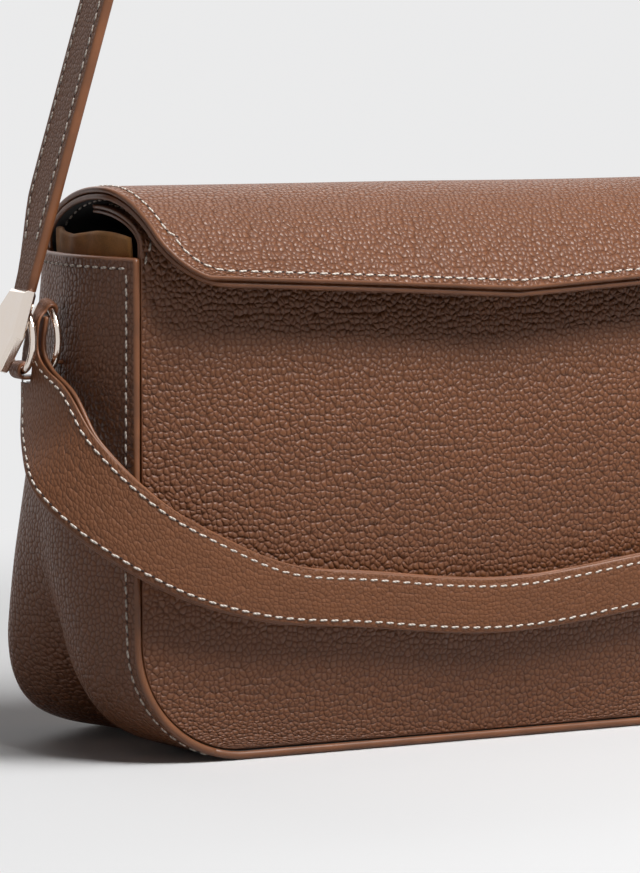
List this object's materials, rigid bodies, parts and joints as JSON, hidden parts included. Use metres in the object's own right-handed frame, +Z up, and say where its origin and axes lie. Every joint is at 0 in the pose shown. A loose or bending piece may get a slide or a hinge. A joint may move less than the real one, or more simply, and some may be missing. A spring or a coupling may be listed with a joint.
{
  "type": "crossbody bag",
  "caption": "Flap-over leather crossbody bag with round lower corners, bulging side gussets, a rolled front edge, a short hanging handle and a long buckled shoulder strap.",
  "frame": {"origin": "middle of the flat base, on the surface that the bag stands on", "axes": "+X along the bag's width, -Y towards the front with the flap, +Z up"},
  "size_m": [0.3472, 0.1151, 0.6485],
  "materials": {
    "brown_leather": "pebbled brown leather with a soft sheen and off-white saddle stitching",
    "edge_leather": "smooth leather ply with painted edges",
    "tan_facing": "matt tan inner leather",
    "black_lining": "black woven lining",
    "grey_board": "stiffener board under the base lining",
    "bright_metal": "polished pale metal"
  },
  "bodies": {
    "bag": {"front_panel": "brown_leather", "front_facing": "edge_leather", "back_panel": "brown_leather", "back_facing": "edge_leather", "gusset_left": "brown_leather", "gusset_right": "brown_leather", "gusset_facing_left": "tan_facing", "gusset_facing_right": "tan_facing", "lining_front": "black_lining", "lining_back": "black_lining", "lining_left": "black_lining", "lining_right": "black_lining", "base_panel": "brown_leather", "base_board": "grey_board", "lining_base": "black_lining", "slip_pocket": "black_lining", "snap_socket": "bright_metal", "snap_socket_plate": "bright_metal", "side_tab_left": "brown_leather", "side_tab_right": "brown_leather", "tab_rivet_left": "bright_metal", "tab_rivet_right": "bright_metal"},
    "flap": {"flap_leather": "brown_leather", "flap_lining": "edge_leather", "snap_stud": "bright_metal"},
    "handle": {"handle_leather": "brown_leather", "handle_backing": "edge_leather"},
    "strap": {"strap_long": "brown_leather", "strap_short": "brown_leather", "strap_block_left": "bright_metal", "strap_block_right": "bright_metal", "buckle_frame": "bright_metal"},
    "prong": {"buckle_prong": "bright_metal"},
    "keeper": {"strap_keeper": "brown_leather"},
    "handle_ring_left": {"handle_ring_left": "bright_metal"},
    "handle_ring_right": {"handle_ring_right": "bright_metal"},
    "strap_ring_left": {"strap_ring_left": "bright_metal"},
    "strap_ring_right": {"strap_ring_right": "bright_metal"}
  },
  "joints": [
    {"name": "flap_hinge", "type": "hinge", "parent": "bag", "child": "flap", "pos_m": [0, 0.0298, 0.173], "axis": [-1, 0, 0], "range_deg": [0, 165]},
    {"name": "handle_swing", "type": "hinge", "parent": "bag", "child": "handle", "pos_m": [0, -0.007, 0.145], "axis": [-1, 0, 0], "range_deg": [0, 75]},
    {"name": "strap_swing", "type": "hinge", "parent": "bag", "child": "strap", "pos_m": [0, -0.007, 0.145], "axis": [-1, 0, 0], "range_deg": [-20, 60]},
    {"name": "prong_hinge", "type": "hinge", "parent": "strap", "child": "prong", "pos_m": [0.11064, -0.007, 0.33712], "axis": [0, -1, 0], "range_deg": [0, 100]},
    {"name": "keeper_slide", "type": "slide", "parent": "strap", "child": "keeper", "axis": [-0.2857, 0, 0.9583], "range_m": [-0.02, 0.02]},
    {"name": "handle_ring_left_spin", "type": "hinge", "parent": "bag", "child": "handle_ring_left", "pos_m": [-0.1536, -0.007, 0.145], "axis": [1, 0, 0], "continuous": true},
    {"name": "handle_ring_right_spin", "type": "hinge", "parent": "bag", "child": "handle_ring_right", "pos_m": [0.1536, -0.007, 0.145], "axis": [1, 0, 0], "continuous": true},
    {"name": "strap_ring_left_spin", "type": "hinge", "parent": "bag", "child": "strap_ring_left", "pos_m": [-0.1628, -0.007, 0.145], "axis": [1, 0, 0], "continuous": true},
    {"name": "strap_ring_right_spin", "type": "hinge", "parent": "bag", "child": "strap_ring_right", "pos_m": [0.1628, -0.007, 0.145], "axis": [1, 0, 0], "continuous": true}
  ]
}
